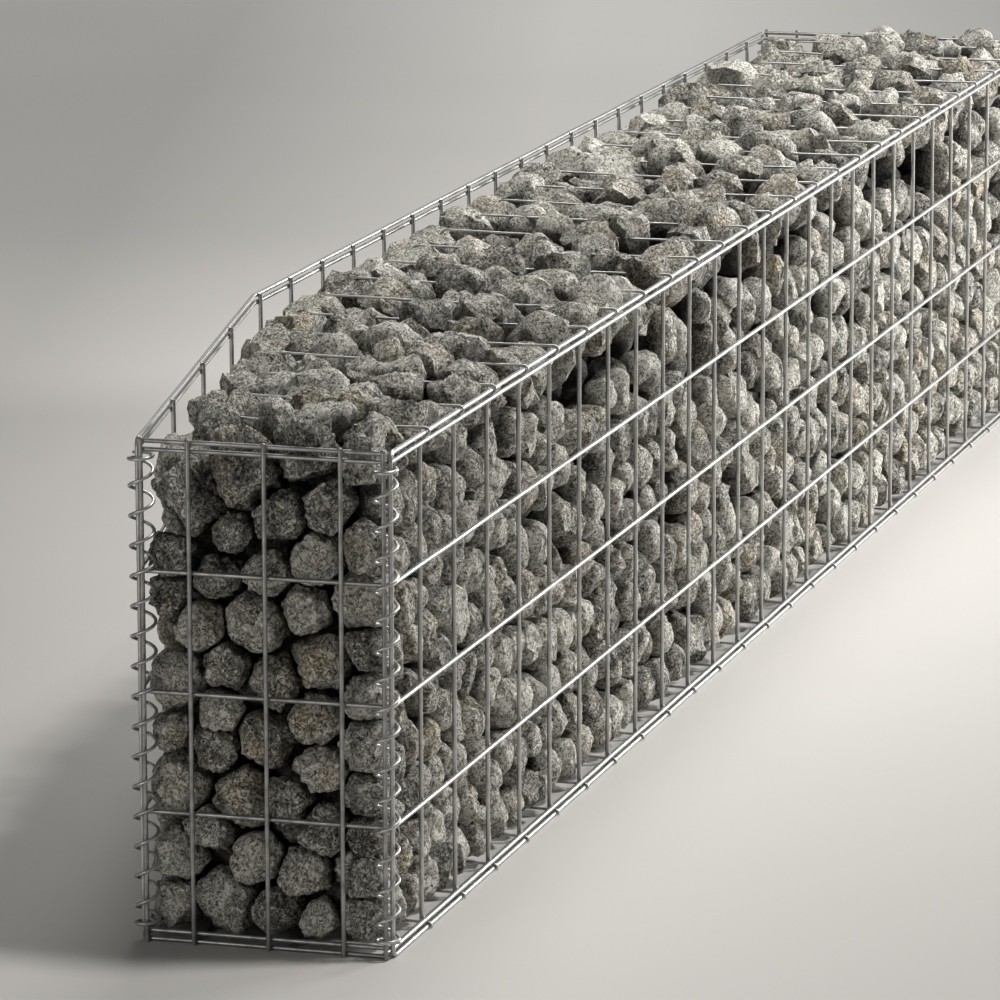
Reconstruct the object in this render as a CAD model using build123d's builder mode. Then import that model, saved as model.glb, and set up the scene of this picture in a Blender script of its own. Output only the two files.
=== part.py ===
"""A gabion wall: a long basket of welded wire mesh, filled with stones.

X runs along the wall, the front panel faces -Y, Z is up, and the wall stands
on Z = 0 with its middle at X = Y = 0.  All sizes are in millimetres.
"""

import math
import os

from build123d import *

# Driving dimensions
CELL_LENGTH = 95.0
CELL_HEIGHT = 100.0
CELLS_LONG = 27
CELLS_HIGH = 4
END_PITCH = 64.0
END_FIRST = 42.0
NEAR_WIDTH = 208.0
WALL_WIDTH = 334.0
TAPER_CELLS = 7
TAPER_BAYS = 4
MESH_WIRE = 4.0
TIE_WIRE = 2.4
TIE_DIP = 65.0
RAIL_GAP = 7.0
FRAME_BEND = 6.0
STUB = 2.0
JOINER_WIRE = 3.0
JOINER_DIAMETER = 22.4
JOINER_PITCH = 25.0
JOINER_SIDES = 7
HOOK_GAP = 0.3
FILL_GAP = 1.0
FILL_TOP = 392.0
FILL_SHOULDER = 14.0
FILL_SLOPE = (50.0, 82.0)
FILL_CORNER = 16.0

# Worked out from them
LENGTH = CELL_LENGTH * CELLS_LONG
NEAR, FAR = -LENGTH / 2, LENGTH / 2
FRONT, BACK = -WALL_WIDTH / 2, WALL_WIDTH / 2
NEAR_BACK = FRONT + NEAR_WIDTH
KINK = NEAR + TAPER_CELLS * CELL_LENGTH
TAPER_RUN = KINK - NEAR
TAPER_RISE = BACK - NEAR_BACK
TAPER_LENGTH = math.hypot(TAPER_RUN, TAPER_RISE)
HALF = MESH_WIRE / 2
FLAT = HALF * math.tan(math.pi / 8)
SILL = HALF
LEVELS = [SILL + RAIL_GAP + CELL_HEIGHT * row for row in range(CELLS_HIGH + 1)]
RIM = LEVELS[-1] + RAIL_GAP
LEG = MESH_WIRE
INSET = MESH_WIRE + HALF
HOOK_OFFSET = HALF + TIE_WIRE / 2 + HOOK_GAP
PAST_KINK = 2 * MESH_WIRE
UPRIGHTS_X = [NEAR + CELL_LENGTH * column for column in range(1, CELLS_LONG)]

# Each panel's plane: local X along it, local Y up, normal outward
FRONT_PLANE = Plane((NEAR, FRONT, 0), x_dir=(1, 0, 0), z_dir=(0, -1, 0))
BACK_PLANE = Plane((FAR, BACK, 0), x_dir=(-1, 0, 0), z_dir=(0, 1, 0))
TAPER_PLANE = Plane(
    (KINK, BACK, 0),
    x_dir=(-TAPER_RUN, -TAPER_RISE, 0),
    z_dir=(-TAPER_RISE, TAPER_RUN, 0),
)
NEAR_PLANE = Plane((NEAR, NEAR_BACK, 0), x_dir=(0, -1, 0), z_dir=(-1, 0, 0))
FAR_PLANE = Plane((FAR, FRONT, 0), x_dir=(0, 1, 0), z_dir=(1, 0, 0))

# The mitre where the back turns, facing the far end
MITRE = Plane((KINK, BACK, 0), z_dir=(TAPER_RUN + TAPER_LENGTH, TAPER_RISE, 0))

os.makedirs("parts", exist_ok=True)


def finish(part, label):
    """Label a finished piece and write its file."""
    part.label = label
    export_step(part, f"parts/{label}.step")


def back_face(x):
    """The Y of the back panels' middle plane at a place along the wall."""
    return BACK - TAPER_RISE * max(0.0, KINK - x) / TAPER_RUN


def wire_section(diameter=MESH_WIRE, sides=8):
    """Draw a wire's section with flats across both axes."""
    RegularPolygon(diameter / 2, sides, major_radius=False, rotation=180 / sides)


def plan_of(panel_plane):
    """The plane a panel stands on: X along the panel, normal up."""
    return Plane(panel_plane.origin, x_dir=panel_plane.x_dir, z_dir=panel_plane.y_dir)


def end_of(panel_plane):
    """The plane across a panel's start: X up the panel, normal along it."""
    return Plane(panel_plane.origin, x_dir=panel_plane.y_dir, z_dir=panel_plane.x_dir)


def side_panel(panel_plane, upright_places, rails_from, rails_to, frame_corners, closed):
    """A long side: uprights inside, with rails and a bent frame wire welded outside them."""
    outer = panel_plane.offset(HALF)
    with BuildPart() as panel:
        with BuildSketch(plan_of(panel_plane.offset(-HALF)).offset(SILL - FLAT)):
            with Locations(*[(place, 0) for place in upright_places]):
                wire_section()
        extrude(amount=RIM - SILL + 2 * FLAT)
        with BuildLine(outer) as frame:
            Polyline(*frame_corners, close=closed)
        with BuildSketch(Plane(frame.line @ 0, x_dir=panel_plane.z_dir, z_dir=frame.line % 0)):
            wire_section()
        sweep(path=frame.line, transition=Transition.RIGHT)
        with BuildSketch(end_of(outer).offset(rails_from)):
            with Locations(*[(level, 0) for level in LEVELS]):
                wire_section()
        extrude(amount=rails_to - rails_from)
    return panel.part


def end_panel(panel_plane, width, upright_places):
    """An end: uprights outside, rails and doubled edge rails inside them."""
    with BuildPart() as panel:
        with BuildSketch(plan_of(panel_plane.offset(HALF))):
            with Locations(*[(place, 0) for place in upright_places]):
                wire_section()
        extrude(amount=RIM + HALF + STUB)
        with BuildSketch(end_of(panel_plane.offset(-HALF))):
            with Locations(*[(level, 0) for level in [SILL, *LEVELS, RIM]]):
                wire_section()
        extrude(amount=width)
    return panel.part


def make_front_panel():
    """The front: 27 cells by 4 in a frame wire bent at all four corners."""
    low, high = SILL + FRAME_BEND, RIM - FRAME_BEND
    left, right = LEG, LENGTH - LEG
    corners = [
        (LENGTH / 2, SILL),
        (right - FRAME_BEND, SILL),
        (right, low),
        (right, high),
        (right - FRAME_BEND, RIM),
        (left + FRAME_BEND, RIM),
        (left, high),
        (left, low),
        (left + FRAME_BEND, SILL),
    ]
    places = [CELL_LENGTH * column for column in range(1, CELLS_LONG)]
    return side_panel(FRONT_PLANE, places, left, right, corners, True)


def make_back_panel():
    """The back's straight part, from the far end to the mitre at the turn."""
    run = FAR - KINK
    corners = [
        (run + PAST_KINK, SILL),
        (LEG + FRAME_BEND, SILL),
        (LEG, SILL + FRAME_BEND),
        (LEG, RIM - FRAME_BEND),
        (LEG + FRAME_BEND, RIM),
        (run + PAST_KINK, RIM),
    ]
    columns = CELLS_LONG - TAPER_CELLS
    places = [CELL_LENGTH * column for column in range(1, columns)] + [run - INSET - 1]
    panel = side_panel(BACK_PLANE, places, LEG, run + PAST_KINK, corners, False)
    with BuildPart() as trimmed:
        add(panel)
        split(bisect_by=MITRE, keep=Keep.TOP)
    return trimmed.part


def make_back_corner_panel():
    """The back's slanting part, from the mitre in to the narrow near end."""
    leg = TAPER_LENGTH - LEG
    corners = [
        (-PAST_KINK, SILL),
        (leg - FRAME_BEND, SILL),
        (leg, SILL + FRAME_BEND),
        (leg, RIM - FRAME_BEND),
        (leg - FRAME_BEND, RIM),
        (-PAST_KINK, RIM),
    ]
    places = [TAPER_LENGTH * bay / TAPER_BAYS for bay in range(1, TAPER_BAYS)]
    panel = side_panel(TAPER_PLANE, places, -PAST_KINK, leg, corners, False)
    with BuildPart() as trimmed:
        add(panel)
        split(bisect_by=MITRE, keep=Keep.BOTTOM)
    return trimmed.part


def make_near_end_panel():
    """The narrow near end: two corner uprights and three set out from the back corner."""
    inner = [END_FIRST + END_PITCH * step for step in range(3)]
    return end_panel(NEAR_PLANE, NEAR_WIDTH, [HALF, *inner, NEAR_WIDTH - HALF])


def make_far_end_panel():
    """The full-width far end, with its two corner uprights and five between."""
    middle = WALL_WIDTH / 2
    inner = [middle + END_PITCH * step for step in (-2, -1, 0, 1, 2)]
    return end_panel(FAR_PLANE, WALL_WIDTH, [HALF, *inner, WALL_WIDTH - HALF])


def make_base_panel():
    """The mesh floor: long wires on the ground, hooked cross wires over them."""
    pitch = WALL_WIDTH / 4
    long_wires = [FRONT + INSET, -pitch, 0, pitch, BACK - INSET]
    bar = TIE_WIRE / 2
    over = SILL + HALF + bar
    with BuildPart() as base:
        with BuildSketch(Plane.YZ.offset(NEAR)):
            with Locations(*[(place, SILL) for place in long_wires]):
                wire_section()
        extrude(amount=LENGTH)
        with BuildSketch(Plane.XY):
            with BuildLine():
                Polyline(
                    (NEAR + MESH_WIRE, FRONT),
                    (FAR - MESH_WIRE, FRONT),
                    (FAR - MESH_WIRE, BACK - MESH_WIRE),
                    (KINK + INSET, BACK - MESH_WIRE),
                    (NEAR + MESH_WIRE, back_face(NEAR + MESH_WIRE) - INSET),
                    close=True,
                )
            make_face()
        extrude(amount=MESH_WIRE, mode=Mode.INTERSECT)
        for x in UPRIGHTS_X:
            place = x + HOOK_OFFSET
            front = FRONT - MESH_WIRE - bar
            back = back_face(place) + MESH_WIRE + bar + 2 * HOOK_GAP
            with BuildLine(Plane.YZ.offset(place)) as route:
                Polyline((front, HOOK_GAP), (front, over), (back, over), (back, HOOK_GAP))
            with BuildSketch(Plane(route.line @ 0, x_dir=(1, 0, 0), z_dir=(0, 0, 1))):
                wire_section(TIE_WIRE, 4)
            sweep(path=route.line, transition=Transition.RIGHT)
    return base.part


def make_cross_tie(x):
    """A tie wire hooked on the front rim that dips down to hook on a back rail."""
    bar = TIE_WIRE / 2
    top, low = RIM + HALF + bar, RIM - HALF - bar - HOOK_GAP
    over, under = LEVELS[-2] + HALF + bar, LEVELS[-2] - HALF - bar - HOOK_GAP
    front = FRONT - MESH_WIRE - bar - HOOK_GAP
    back = back_face(x) + MESH_WIRE + bar + 2 * HOOK_GAP
    with BuildPart() as tie:
        with BuildLine(Plane.YZ.offset(x)) as route:
            Polyline(
                (front + MESH_WIRE + bar, low),
                (front, low),
                (front, top),
                (back - TIE_DIP, top),
                (back, over),
                (back, under),
                (back - MESH_WIRE - bar, under),
            )
        with BuildSketch(Plane(route.line @ 0, x_dir=(1, 0, 0), z_dir=(0, -1, 0))):
            wire_section(TIE_WIRE, 4)
        sweep(path=route.line, transition=Transition.RIGHT)
    return tie.part


def make_spiral(x, y, heading):
    """A coiled joiner round a corner, passing the long rails half-way between levels."""
    radius = (JOINER_DIAMETER - JOINER_WIRE) / 2
    start = LEVELS[0] + JOINER_WIRE + 1
    stop = LEVELS[-1] - JOINER_WIRE - 1
    steps = int((stop - start) / JOINER_PITCH * JOINER_SIDES)
    passing = LEVELS[0] + JOINER_PITCH / 2
    points = []
    for step in range(steps + 1):
        z = start + step * JOINER_PITCH / JOINER_SIDES
        turn = math.radians(heading) + 2 * math.pi * (z - passing) / JOINER_PITCH
        points.append((x + radius * math.cos(turn), y + radius * math.sin(turn), z))
    with BuildPart() as spiral:
        with BuildLine() as route:
            Polyline(*points)
        with BuildSketch(Plane(route.line @ 0, z_dir=route.line % 0)):
            wire_section(JOINER_WIRE, 4)
        sweep(path=route.line, transition=Transition.RIGHT)
    return spiral.part


def make_fill(start, stop, outer_end):
    """The stones between two places, as one mass clear of the spirals at its outer end."""
    foot = SILL + HALF + TIE_WIRE + FILL_GAP
    inset = MESH_WIRE + FILL_GAP
    with BuildPart() as fill:
        with BuildSketch(Plane.XY.offset(foot)):
            with BuildLine():
                Polyline(
                    (start, FRONT + inset),
                    (stop, FRONT + inset),
                    (stop, back_face(stop) - inset - FILL_GAP),
                    (start, back_face(start) - inset - FILL_GAP),
                    close=True,
                )
            make_face()
        extrude(amount=FILL_TOP - foot)
        corners = fill.edges().filter_by(Axis.Z).group_by(Axis.X)[outer_end]
        chamfer(corners, length=FILL_CORNER)
        long_edges = fill.edges().group_by(Axis.Z)[-1].sort_by(Axis.Y)
        chamfer(long_edges[0], length=FILL_SHOULDER)
        top = fill.faces().sort_by(Axis.Z)[-1]
        across, down = FILL_SLOPE
        chamfer(top.edges().sort_by(Axis.Y)[-1], length=across, length2=down, reference=top)
    return fill.part


finish(make_front_panel(), "front_panel")
finish(make_back_panel(), "back_panel")
finish(make_back_corner_panel(), "back_corner_panel")
finish(make_near_end_panel(), "near_end_panel")
finish(make_far_end_panel(), "far_end_panel")
finish(make_base_panel(), "base_panel")

finish(make_spiral(NEAR + HALF, FRONT + HALF, 0), "spiral_near_front")
finish(make_spiral(NEAR + HALF, NEAR_BACK - HALF / 2, 0), "spiral_near_back")
finish(make_spiral(FAR - HALF, FRONT + HALF, 180), "spiral_far_front")
finish(make_spiral(FAR - HALF, BACK - HALF, 180), "spiral_far_back")

for number, upright in enumerate(UPRIGHTS_X, start=1):
    finish(make_cross_tie(upright + HOOK_OFFSET), f"cross_tie_{number:02d}")

finish(make_fill(NEAR + MESH_WIRE + FILL_GAP, KINK, 0), "stone_fill_near")
finish(make_fill(KINK, FAR - MESH_WIRE - FILL_GAP, -1), "stone_fill_body")
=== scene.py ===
"""A gabion wall in its finished look: round galvanised wires round a fill of broken stones.

Everything is in metres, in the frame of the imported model: X runs along the wall, the
front panel faces -Y, and the wall stands on Z = 0 with its narrow end towards -X.
"""

from __future__ import annotations

import logging
import math
import random
from dataclasses import dataclass, field
from enum import Enum

import bmesh
import bpy
import numpy as np
from mathutils import Euler, Matrix, Vector, kdtree, noise

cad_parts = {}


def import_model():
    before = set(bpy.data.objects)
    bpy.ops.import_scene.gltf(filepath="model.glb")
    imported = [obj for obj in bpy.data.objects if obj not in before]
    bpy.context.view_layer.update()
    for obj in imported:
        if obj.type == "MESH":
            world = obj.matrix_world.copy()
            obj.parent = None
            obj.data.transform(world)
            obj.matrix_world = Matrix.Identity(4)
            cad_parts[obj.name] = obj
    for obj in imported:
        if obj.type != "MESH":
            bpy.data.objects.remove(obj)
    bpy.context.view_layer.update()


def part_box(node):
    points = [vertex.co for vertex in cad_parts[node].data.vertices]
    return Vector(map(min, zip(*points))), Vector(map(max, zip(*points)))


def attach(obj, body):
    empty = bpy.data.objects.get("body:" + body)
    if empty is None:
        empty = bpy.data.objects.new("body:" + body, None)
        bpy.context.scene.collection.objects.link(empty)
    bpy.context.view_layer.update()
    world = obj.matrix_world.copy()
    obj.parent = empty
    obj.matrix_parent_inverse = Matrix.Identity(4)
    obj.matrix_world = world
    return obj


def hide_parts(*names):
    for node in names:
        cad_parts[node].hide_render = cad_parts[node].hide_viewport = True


LOG = logging.getLogger("gabion")
MM = 0.001
BODY = "root"
UP = Vector((0, 0, 1))
PILE_SEED = 4711
WIRE_SEED = 1207
TONES = (0.0, 0.18, 0.42, 0.7, 1.15)
ALONG = Vector((1, 0, 0))
ACROSS = Vector((0, 1, 0))
BALL_VOLUME = 4.19
FULL_TURN = 6.28


@dataclass(frozen=True)
class WallFrame:
    """The wall's planes, heights and spacings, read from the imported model."""

    near: float
    far: float
    front: float
    back: float
    near_back: float
    kink: float
    sill: float
    rim: float
    levels: tuple[float, ...]
    uprights: tuple[float, ...]
    mesh_wire: float = 4 * MM
    tie_wire: float = 2.4 * MM
    joiner_wire: float = 3 * MM
    leg: float = 4 * MM
    base_inset: float = 6 * MM
    hook_offset: float = 3.5 * MM
    rail_gap: float = 7 * MM
    cells_high: int = 4
    cells_long: int = 27

    @classmethod
    def from_nodes(cls) -> "WallFrame":
        """Read the wall's planes from the boxes of its nodes.

        Returns:
            The frame that every sub-assembly takes its places from.
        """
        near_low, near_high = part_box("near_end_panel")
        far_low, far_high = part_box("far_end_panel")
        front_low, front_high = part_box("front_panel")
        near = (near_low.x + near_high.x) / 2
        far = (far_low.x + far_high.x) / 2
        sill = front_low.z + cls.mesh_wire / 2
        rim = front_high.z - cls.mesh_wire / 2
        cell_height = (rim - sill - 2 * cls.rail_gap) / cls.cells_high
        cell_length = (far - near) / cls.cells_long
        return cls(
            near=near,
            far=far,
            front=near_low.y,
            back=far_high.y,
            near_back=near_high.y,
            kink=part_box("stone_fill_body")[0].x,
            sill=sill,
            rim=rim,
            levels=tuple(sill + cls.rail_gap + cell_height * row for row in range(cls.cells_high + 1)),
            uprights=tuple(near + cell_length * column for column in range(1, cls.cells_long)),
        )

    @property
    def slant(self) -> float:
        """The angle that the slanting back makes with the wall's length."""
        return math.atan2(self.back - self.near_back, self.kink - self.near)

    @property
    def slant_length(self) -> float:
        """The length of the slanting part of the back."""
        return math.hypot(self.back - self.near_back, self.kink - self.near)

    def back_at(self, x: float) -> float:
        """The Y of the back panels' middle plane at a place along the wall."""
        return self.back - math.tan(self.slant) * max(0.0, self.kink - x)


class Shades:
    """A node tree with short calls that add and join its nodes."""

    def __init__(self, tree: bpy.types.NodeTree) -> None:
        """Start with an empty tree."""
        self.tree = tree
        self.tree.nodes.clear()

    def add(self, kind: str, **inputs: object) -> bpy.types.Node:
        """Add a node and set or join its inputs.

        Args:
            kind: The node's type without its ShaderNode prefix.
            inputs: Values or sockets, named as the sockets are with _ for a space.

        Returns:
            The new node.
        """
        node = self.tree.nodes.new("ShaderNode" + kind)
        self.feed(node, **inputs)
        return node

    def feed(self, node: bpy.types.Node, **inputs: object) -> None:
        """Set or join inputs of a node that is there already."""
        for name, value in inputs.items():
            socket = node.inputs[name.replace("_", " ")]
            self.put(socket, value)

    def put(self, socket: bpy.types.NodeSocket, value: object) -> None:
        """Set one socket's value, or join another node's output to it."""
        if isinstance(value, bpy.types.NodeSocket):
            self.tree.links.new(value, socket)
        else:
            socket.default_value = value

    def math(self, operation: str, *values: object) -> bpy.types.NodeSocket:
        """Work out a number from one or more others."""
        node = self.tree.nodes.new("ShaderNodeMath")
        node.operation = operation
        for socket, value in zip(node.inputs, values):
            self.put(socket, value)
        return node.outputs[0]

    def times(self, *values: object) -> bpy.types.NodeSocket:
        """One number times another."""
        return self.math("MULTIPLY", *values)

    def plus(self, *values: object) -> bpy.types.NodeSocket:
        """One number plus another."""
        return self.math("ADD", *values)

    def minus(self, *values: object) -> bpy.types.NodeSocket:
        """One number less another."""
        return self.math("SUBTRACT", *values)

    def vector(self, operation: str, *values: object) -> bpy.types.NodeSocket:
        """Work out a vector from one or more others."""
        node = self.tree.nodes.new("ShaderNodeVectorMath")
        node.operation = operation
        for socket, value in zip(node.inputs, values):
            self.put(socket, value)
        return node.outputs[0]

    def folds(self, value: object, width: float) -> bpy.types.NodeSocket:
        """Thin winding lines, worth 1 where a cloud passes its middle value."""
        off = self.math("ABSOLUTE", self.minus(value, 0.5))
        return self.remap(off, 0.0, width, (1.0, 0.0))

    def remap(self, value: object, low: float, high: float, to: tuple = (0.0, 1.0)) -> bpy.types.NodeSocket:
        """Stretch the stretch from low to high over another one, and clamp it."""
        node = self.tree.nodes.new("ShaderNodeMapRange")
        for socket, number in zip(node.inputs, (value, low, high, *to)):
            self.put(socket, number)
        return node.outputs[0]

    def mix(self, share: object, first: object, second: object, how: str = "MIX") -> bpy.types.NodeSocket:
        """Mix two colours.

        Args:
            share: How much of the second colour there is.
            first: The colour at share 0.
            second: The colour at share 1.
            how: The blend type.

        Returns:
            The mixed colour's socket.
        """
        node = self.tree.nodes.new("ShaderNodeMix")
        node.data_type = "RGBA"
        node.blend_type = how
        self.put(node.inputs[0], share)
        self.put(node.inputs[6], first)
        self.put(node.inputs[7], second)
        return node.outputs[2]

    def scaled(self, colour: object, factor: object) -> bpy.types.NodeSocket:
        """A colour made darker or lighter by a factor."""
        node = self.tree.nodes.new("ShaderNodeVectorMath")
        node.operation = "SCALE"
        self.put(node.inputs["Vector"], colour)
        self.put(node.inputs["Scale"], factor)
        return node.outputs[0]

    def noise(
        self, place: object, scale: float, detail: float = 2.0, roughness: float = 0.5
    ) -> bpy.types.NodeSocket:
        """A cloud of values from 0 to 1 about a place."""
        node = self.add("TexNoise", Vector=place, Scale=scale, Detail=detail, Roughness=roughness)
        return node.outputs[0]

    def attribute(self, name: str, output: str = "Fac") -> bpy.types.NodeSocket:
        """A value that the piece's mesh carries."""
        node = self.tree.nodes.new("ShaderNodeAttribute")
        node.attribute_name = name
        return node.outputs[output]


def place_in_scene(name: str, data: bpy.types.ID) -> bpy.types.Object:
    """Make an object from its data and put it in the scene."""
    made = bpy.data.objects.new(name, data)
    bpy.context.scene.collection.objects.link(made)
    return made


def mesh_from(name: str, shape: bmesh.types.BMesh) -> bpy.types.Mesh:
    """Turn a finished shape into a mesh and free the shape."""
    mesh = bpy.data.meshes.new(name)
    shape.to_mesh(mesh)
    shape.free()
    return mesh


def new_material(name: str) -> tuple[bpy.types.Material, Shades]:
    """Start a material, with the helper that fills its tree."""
    material = bpy.data.materials.new(name)
    material.use_nodes = True
    return material, Shades(material.node_tree)


def new_group(
    name: str, inputs: dict[str, tuple], outputs: dict[str, str]
) -> tuple[bpy.types.NodeTree, Shades]:
    """Start a shader node group with named sockets.

    Args:
        name: The group's name.
        inputs: Each input's socket type and default value.
        outputs: Each output's socket type.

    Returns:
        The group and the helper that fills it.
    """
    group = bpy.data.node_groups.new(name, "ShaderNodeTree")
    for socket_name, (kind, value) in inputs.items():
        socket = group.interface.new_socket(socket_name, in_out="INPUT", socket_type="NodeSocket" + kind)
        socket.default_value = value
    for socket_name, kind in outputs.items():
        group.interface.new_socket(socket_name, in_out="OUTPUT", socket_type="NodeSocket" + kind)
    return group, Shades(group)


def zinc_group() -> bpy.types.NodeTree:
    """The shared look of galvanised wire: bloom, drawing marks and darker welds.

    Returns:
        A group that puts out a colour, a roughness and a height.
    """
    group, shades = new_group(
        "galvanised_zinc",
        {
            "Bright": ("Color", (0.5, 0.5, 0.5, 1)),
            "Dull": ("Color", (0.3, 0.3, 0.3, 1)),
            "Bloom": ("Float", 0.5),
        },
        {"Color": "Color", "Roughness": "Float", "Height": "Float"},
    )
    given = shades.tree.nodes.new("NodeGroupInput")
    place = shades.add("TexCoord").outputs["Object"]
    patches = shades.noise(place, 90, 4, 0.6)
    specks = shades.noise(place, 700, 3, 0.6)
    clouds = shades.times(shades.remap(patches, 0.35, 0.7), given.outputs["Bloom"])
    weld = shades.attribute("weld")
    dull = shades.math("MAXIMUM", clouds, shades.times(weld, 0.55))
    colour = shades.mix(dull, given.outputs["Bright"], given.outputs["Dull"])
    stains = shades.remap(specks, 0.58, 0.75, (0.0, 0.35))
    colour = shades.mix(stains, colour, given.outputs["Dull"])
    rough = shades.remap(shades.plus(dull, shades.times(specks, 0.4)), 0.0, 1.2, (0.34, 0.55))
    result = shades.tree.nodes.new("NodeGroupOutput")
    shades.feed(result, Color=colour, Roughness=rough)
    shades.put(result.inputs["Height"], shades.plus(specks, shades.times(patches, 0.5)))
    return group


@dataclass(frozen=True)
class ZincFinish:
    """Galvanised steel wire, from satin to dull."""

    name: str
    bright: tuple[float, float, float]
    dull: tuple[float, float, float]
    bloom: float
    bump: float = 0.04
    relief: float = 0.4 * MM
    metallic: float = 0.88

    def build(self, group: bpy.types.NodeTree) -> bpy.types.Material:
        """Make the material.

        Args:
            group: The shared zinc group.

        Returns:
            The material.
        """
        material, shades = new_material(self.name)
        zinc = shades.add("Group")
        zinc.node_tree = group
        shades.feed(zinc, Bright=(*self.bright, 1), Dull=(*self.dull, 1), Bloom=self.bloom)
        bump = shades.add("Bump", Strength=self.bump, Distance=self.relief, Height=zinc.outputs["Height"])
        surface = shades.add("BsdfPrincipled", Metallic=self.metallic, Normal=bump.outputs["Normal"])
        shades.feed(surface, Base_Color=zinc.outputs["Color"], Roughness=zinc.outputs["Roughness"])
        shades.add("OutputMaterial", Surface=surface.outputs[0])
        return material


def rock_group() -> bpy.types.NodeTree:
    """The look of broken volcanic stone: patches, creases, pits and paler edges, with painted shade in the
    creases, pits and deep gaps and painted highlight on ridges.

    Returns:
        A group that puts out a colour, a roughness and a height.
    """
    group, shades = new_group(
        "broken_rock",
        {
            "Dark": ("Color", (0.1, 0.1, 0.09, 1)),
            "Pale": ("Color", (0.4, 0.4, 0.36, 1)),
            "Warm": ("Color", (0.3, 0.2, 0.12, 1)),
            "Edge": ("Color", (0.6, 0.58, 0.52, 1)),
        },
        {"Color": "Color", "Roughness": "Float", "Height": "Float"},
    )
    given = shades.tree.nodes.new("NodeGroupInput")
    seed = shades.attribute("stone_seed", "Vector")
    place = shades.vector("ADD", shades.add("TexCoord").outputs["Object"], seed)
    wander = shades.add("TexNoise", Vector=place, Scale=130.0, Detail=3.0).outputs["Color"]
    bent = shades.vector("MULTIPLY_ADD", wander, (0.009, 0.009, 0.009), place)
    tone = shades.attribute("stone_tone")
    warmth = shades.attribute("stone_warmth")
    ridge = shades.attribute("stone_ridge")
    patches = shades.noise(place, 42, 4, 0.62)
    relief = shades.noise(bent, 125, 7, 0.66)
    mottle = shades.noise(bent, 430, 5, 0.72)
    grain = shades.noise(place, 1100, 2, 0.6)
    creases = shades.folds(relief, 0.075)
    veins = shades.folds(shades.noise(bent, 360, 3, 0.7), 0.06)
    cells = shades.add("TexVoronoi", Vector=bent, Scale=390.0).outputs["Distance"]
    pitted = shades.remap(shades.noise(place, 60, 3, 0.6), 0.40, 0.56, (0.25, 1.0))
    holes = shades.times(shades.remap(cells, 0.14, 0.46, (1.0, 0.0)), pitted)
    rims = shades.times(shades.remap(cells, 0.5, 0.62), pitted)
    share = shades.plus(shades.times(tone, 0.9), shades.remap(patches, 0.36, 0.64, (-0.2, 0.56)))
    colour = shades.mix(share, given.outputs["Dark"], given.outputs["Pale"])
    blush = shades.remap(shades.noise(place, 26, 3, 0.5), 0.42, 0.62)
    colour = shades.mix(shades.times(blush, warmth), colour, given.outputs["Warm"])
    colour = shades.scaled(colour, shades.remap(mottle, 0.38, 0.62, (0.28, 2.1)))
    colour = shades.scaled(colour, shades.remap(grain, 0.36, 0.64, (0.6, 1.5)))
    # Pale thin lines, raised a little in the bump: partly a vein pattern, partly painted highlight along
    # those ridges.
    lines = shades.times(veins, shades.remap(mottle, 0.42, 0.56, (0.05, 0.9)))
    colour = shades.mix(lines, colour, given.outputs["Edge"])
    # Paler along the edges between a stone's cuts.
    pale_edges = shades.times(ridge, shades.remap(mottle, 0.4, 0.6, (0.05, 0.9)))
    colour = shades.mix(pale_edges, colour, given.outputs["Edge"])
    # Darker along the creases of the relief, which the bump also dents: painted shade in the creases.
    colour = shades.scaled(colour, shades.minus(1.0, shades.times(creases, 0.75)))
    # Darker in the pits, which the bump dents, and lighter on the ground between them: painted shade and
    # painted highlight.
    colour = shades.scaled(colour, shades.minus(1.0, shades.times(holes, 0.85)))
    colour = shades.scaled(colour, shades.math("MULTIPLY_ADD", rims, 0.7, 1.0))
    colour = shades.vector("MINIMUM", colour, (0.94, 0.92, 0.85))
    # Darker the deeper a point lies below the showing sides and top: painted shade in the gaps between and
    # behind the stones.
    colour = shades.scaled(colour, shades.remap(shades.attribute("stone_depth"), 0.006, 0.034, (1.0, 0.12)))
    height = shades.minus(relief, shades.times(creases, 0.10))
    height = shades.plus(height, shades.times(mottle, 0.45))
    height = shades.plus(height, shades.times(veins, 0.05))
    height = shades.minus(height, shades.times(holes, 0.16))
    result = shades.tree.nodes.new("NodeGroupOutput")
    shades.feed(result, Color=colour, Height=height)
    shades.put(result.inputs["Roughness"], shades.remap(grain, 0.3, 0.7, (0.9, 0.62)))
    return group


@dataclass(frozen=True)
class RockFinish:
    """Grey to olive broken stone with paler broken edges."""

    name: str = "grey_broken_stone"
    dark: tuple[float, float, float] = (0.115, 0.112, 0.100)
    pale: tuple[float, float, float] = (0.98, 0.95, 0.83)
    warm: tuple[float, float, float] = (0.64, 0.52, 0.34)
    edge: tuple[float, float, float] = (0.96, 0.94, 0.86)
    bump: float = 0.9
    relief: float = 8 * MM
    shine: float = 0.35

    def build(self, group: bpy.types.NodeTree) -> bpy.types.Material:
        """Make the material.

        Args:
            group: The rock group.

        Returns:
            The material.
        """
        material, shades = new_material(self.name)
        rock = shades.add("Group")
        rock.node_tree = group
        colours = {"Dark": self.dark, "Pale": self.pale, "Warm": self.warm, "Edge": self.edge}
        shades.feed(rock, **{socket: (*colour, 1) for socket, colour in colours.items()})
        bump = shades.add("Bump", Strength=self.bump, Distance=self.relief, Height=rock.outputs["Height"])
        surface = shades.add("BsdfPrincipled", Normal=bump.outputs["Normal"])
        shades.feed(surface, Base_Color=rock.outputs["Color"], Roughness=rock.outputs["Roughness"])
        surface.inputs["Specular IOR Level"].default_value = self.shine
        shades.add("OutputMaterial", Surface=surface.outputs[0])
        return material


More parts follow.
